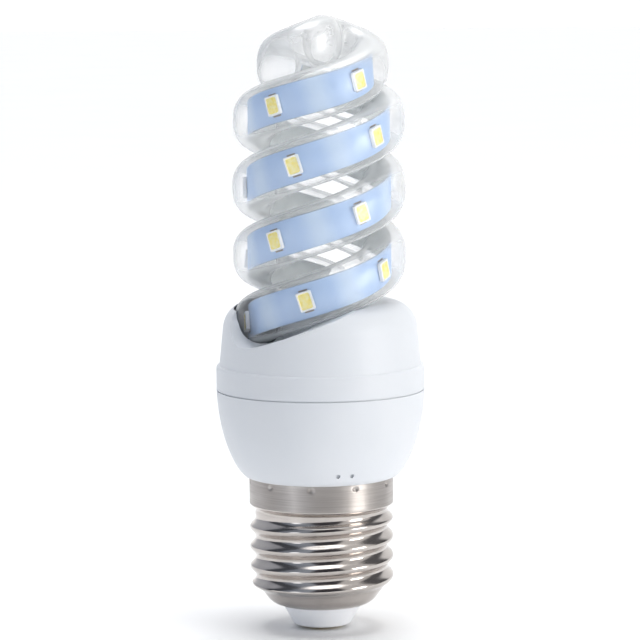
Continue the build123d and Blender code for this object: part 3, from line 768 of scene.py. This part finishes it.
class BULB_OT_base(bpy.types.Operator):
    """Builds the threaded shell and finishes the insulating foot"""
    bl_idname = "bulb.base"
    bl_label = "Screw base"

    def shell_skin(self, base, heights, inset, around):
        """One skin of the shell: at each height a circle whose centre winds about the axis.

        The swing of that centre is half the thread's depth and fades at both ends. The circle's
        radius follows a cone with a rolled rim, then the thread's root, then the skirt. The dimples
        are pressed in by a smooth step of the distance from their centres.
        """
        z = heights[:, None]
        root_r = base.crest_r - base.thread_depth
        rise = np.clip(z - base.rim_z, 0, None)
        cone = base.foot_r + (root_r - base.foot_r) * np.clip(rise / (base.foot_top - base.rim_z), 0, 1)
        short = np.clip(base.foot_round - rise, 0, base.foot_round)
        rolled = base.foot_round - np.sqrt(base.foot_round**2 - short**2)
        r = cone - rolled + base.thread_depth * ease((z - base.thread_top) / base.chamfer)
        fade = ease((z - base.foot_top + base.fade) / base.fade) * ease((base.thread_top - z) / base.fade)
        swing = base.thread_depth / 2 * fade
        turn = FULL_TURN * (z - base.thread_phase) / base.pitch
        a = np.linspace(0, FULL_TURN, around, endpoint=False)[None, :]
        reach = r + swing - inset
        x = swing * np.cos(turn) + reach * np.cos(a)
        y = swing * np.sin(turn) + reach * np.sin(a)
        step = FULL_TURN / base.crimps
        nearest = (a - base.crimp_angle + step / 2) % step - step / 2
        away = np.hypot(nearest * base.crest_r, z - base.skirt_top + base.crimp_drop)
        dent = 1 - base.crimp_depth * ease(1 - away / base.crimp_r) / base.crest_r
        return np.stack([x * dent, y * dent, np.broadcast_to(z, x.shape)], axis=-1)

    def execute(self, context):
        base = context.scene.bulb_base
        around = SHELL_SIDES
        band = base.skirt_top - CRIMP_BAND
        roll = base.rim_z + base.foot_round * (1 - np.cos(np.linspace(0, pi / 2, ROLL_RINGS)))[:-1]
        thread = np.linspace(base.rim_z + base.foot_round, band, THREAD_RINGS)
        skirt = np.linspace(band, base.skirt_top, SKIRT_RINGS)[1:]
        heights = np.concatenate([roll, thread, skirt])
        outer = self.shell_skin(base, heights, 0.0, around)
        inner = self.shell_skin(base, heights, base.sheet, around)
        lip = base.rim_z + base.sheet
        inner[..., 2] = np.maximum(inner[..., 2], lip)
        a = np.linspace(0, FULL_TURN, around, endpoint=False)
        hole = np.stack([base.hole_r * np.cos(a), base.hole_r * np.sin(a), np.full(around, lip)], axis=-1)
        low_hole = hole * np.array([1, 1, base.rim_z / lip])
        skins = np.concatenate([low_hole[None], outer, inner[::-1], hole[None]])
        faces = grid_faces(skins.shape[0], around, wrap_rows=True)[:, ::-1]
        finishes = [nickel_plate("nickel_plate", base), brushed_nickel("brushed_nickel", base)]
        shell = new_piece("threaded_shell", skins, faces, finishes, sharp=radians(50))
        is_skirt = skins[:, 0, 2] > base.thread_top + base.chamfer * SATIN_FROM
        shell.data.polygons.foreach_set("material_index", np.repeat(is_skirt, around).astype(np.int32))
        seat(shell, "nickel", "screw_shell")
        shades = list(base.insulator), list(base.insulator_pale)
        foot = two_tone("insulator_plastic", *shades, 2.0, 0.3, 0.005)
        finish_node("base_insulator", foot)
        return {"FINISHED"}


class BULB_OT_housing(bpy.types.Operator):
    """Finishes the white bowl and cap"""
    bl_idname = "bulb.housing"
    bl_label = "Housing"

    def execute(self, context):
        material = white_plastic("white_plastic", context.scene.bulb_housing)
        finish_node("lower_housing", material)
        finish_node("upper_cap", material)
        return {"FINISHED"}


class BULB_OT_driver(bpy.types.Operator):
    """Finishes the contact and the driver's pieces inside the housing"""
    bl_idname = "bulb.driver"
    bl_label = "Driver"

    def execute(self, context):
        made = {slot: two_tone(f"{slot}_finish", *sizes) for slot, sizes in HIDDEN_FINISHES.items()}
        for row in frame["record"]["subparts"]:
            if row["material_slot"] in made:
                finish_node(row["node"], made[row["material_slot"]])
        return {"FINISHED"}


class BULB_OT_stage(bpy.types.Operator):
    """Builds the pale floor, the soft light and the camera"""
    bl_idname = "bulb.stage"
    bl_label = "Stage"

    def floor(self, stage):
        """Square floor at the foot of the bulb, with a faint unevenness in its colour."""
        side = np.linspace(-stage.floor_size, stage.floor_size, FLOOR_LINES)
        x, y = np.meshgrid(side, side, indexing="ij")
        points = np.stack([x, y, np.full(x.shape, CAD_BOX[0].z)], axis=-1)
        pale = two_tone("floor_paint", list(stage.floor), list(stage.floor_pale), 60.0, 0.6, 0.02)
        faces = grid_faces(FLOOR_LINES, FLOOR_LINES, wrap_cols=False)
        new_piece("floor", points, faces, [pale])

    def tent(self):
        """Studio tent as a world, shaded by the bearing and bright above.

        It is bright on the right and blue-grey on the left, with dark panels between.
        """
        world = bpy.data.worlds.new("studio_tent")
        bpy.context.scene.world = world
        world.use_nodes = True
        nodes = world.node_tree.nodes
        links = world.node_tree.links
        source = nodes.new("ShaderNodeTexCoord")
        split = nodes.new("ShaderNodeSeparateXYZ")
        links.new(source.outputs["Generated"], split.inputs["Vector"])
        bearing = nodes.new("ShaderNodeMath")
        bearing.operation = "ARCTAN2"
        links.new(split.outputs["X"], bearing.inputs[0])
        links.new(split.outputs["Y"], bearing.inputs[1])
        share = nodes.new("ShaderNodeMapRange")
        share.inputs["From Min"].default_value = -pi
        share.inputs["From Max"].default_value = pi
        links.new(bearing.outputs["Value"], share.inputs["Value"])
        shades = nodes.new("ShaderNodeValToRGB")
        stops = shades.color_ramp.elements
        for place, _ in TENT_SHADES[2:]:
            stops.new(place)
        for stop, (place, shade) in zip(stops, TENT_SHADES):
            stop.position = place
            stop.color = (*shade, 1)
        links.new(share.outputs["Result"], shades.inputs["Fac"])
        above = nodes.new("ShaderNodeMapRange")
        above.inputs["From Min"].default_value = ROOF_FROM
        above.inputs["From Max"].default_value = ROOF_FULL
        links.new(split.outputs["Z"], above.inputs["Value"])
        roof = nodes.new("ShaderNodeMix")
        roof.data_type = "RGBA"
        roof.inputs[7].default_value = ROOF_SHADE
        links.new(above.outputs["Result"], roof.inputs["Factor"])
        links.new(shades.outputs["Color"], roof.inputs[6])
        links.new(roof.outputs[2], nodes["Background"].inputs["Color"])

    def softbox(self, name, place, size, power, tint):
        """Rectangular area light that faces the middle of the bulb."""
        light = bpy.data.lights.new(name, "AREA")
        light.shape = "RECTANGLE"
        light.size, light.size_y = size
        light.energy = power
        light.color = tint
        lamp = bpy.data.objects.new(name, light)
        lamp.location = place
        aim = Vector((0, 0, CAD_BOX[1].z / 2)) - Vector(place)
        lamp.rotation_euler = aim.to_track_quat("-Z", "Y").to_euler()
        bpy.context.scene.collection.objects.link(lamp)

    def camera(self, stage):
        """Camera in front of the bulb, aimed at a point on the axis and rolled about its view."""
        data = bpy.data.cameras.new("camera")
        data.angle = 2 * atan(stage.frame_px / 2 / stage.focal_px)
        data.clip_start = 0.05
        camera = bpy.data.objects.new("camera", data)
        back = Vector((0, -cos(stage.elevation), sin(stage.elevation)))
        turn = (-back).to_track_quat("-Z", "Y").to_matrix() @ Matrix.Rotation(stage.roll, 3, "Z")
        place = Vector((0, 0, stage.target_z)) + back * stage.distance
        camera.matrix_world = Matrix.Translation(place) @ turn.to_4x4()
        bpy.context.scene.collection.objects.link(camera)
        bpy.context.scene.camera = camera

    def execute(self, context):
        stage = context.scene.bulb_stage
        self.floor(stage)
        self.tent()
        for softbox in SOFTBOXES:
            self.softbox(*softbox)
        self.camera(stage)
        context.scene.view_settings.view_transform = "Standard"
        context.scene.cycles.max_bounces = LIGHT_BOUNCES
        context.scene.cycles.transmission_bounces = LIGHT_BOUNCES
        context.scene.cycles.transparent_max_bounces = LIGHT_BOUNCES
        return {"FINISHED"}


class BULB_PT_panel(bpy.types.Panel):
    """Lists the bulb's builders and sizes"""
    bl_idname = "BULB_PT_panel"
    bl_label = "Spiral LED Bulb"
    bl_space_type = "VIEW_3D"
    bl_region_type = "UI"
    bl_category = "Bulb"

    def draw(self, context):
        layout = self.layout
        for operator in OPERATORS:
            layout.operator(operator.bl_idname)
        for name, group in GROUPS.items():
            box = layout.box()
            box.label(text=group.__doc__)
            for key in group.__annotations__:
                box.prop(getattr(context.scene, name), key)


GROUPS = {
    "bulb_tube": BulbTube,
    "bulb_strip": BulbStrip,
    "bulb_base": BulbBase,
    "bulb_housing": BulbHousing,
    "bulb_stage": BulbStage,
}
OPERATORS = (
    BULB_OT_tube, BULB_OT_strips, BULB_OT_leds, BULB_OT_base, BULB_OT_housing, BULB_OT_driver, BULB_OT_stage,
)


def register():
    for name, group in GROUPS.items():
        bpy.utils.register_class(group)
        setattr(bpy.types.Scene, name, PointerProperty(type=group))
    for operator in OPERATORS:
        bpy.utils.register_class(operator)
    bpy.utils.register_class(BULB_PT_panel)


def unregister():
    bpy.utils.unregister_class(BULB_PT_panel)
    for operator in reversed(OPERATORS):
        bpy.utils.unregister_class(operator)
    for name, group in reversed(GROUPS.items()):
        delattr(bpy.types.Scene, name)
        bpy.utils.unregister_class(group)


def main():
    register()
    bpy.ops.bulb.tube()
    bpy.ops.bulb.strips()
    bpy.ops.bulb.leds()
    bpy.ops.bulb.base()
    bpy.ops.bulb.housing()
    bpy.ops.bulb.driver()
    bpy.ops.bulb.stage()


if __name__ == "__main__":
    main()
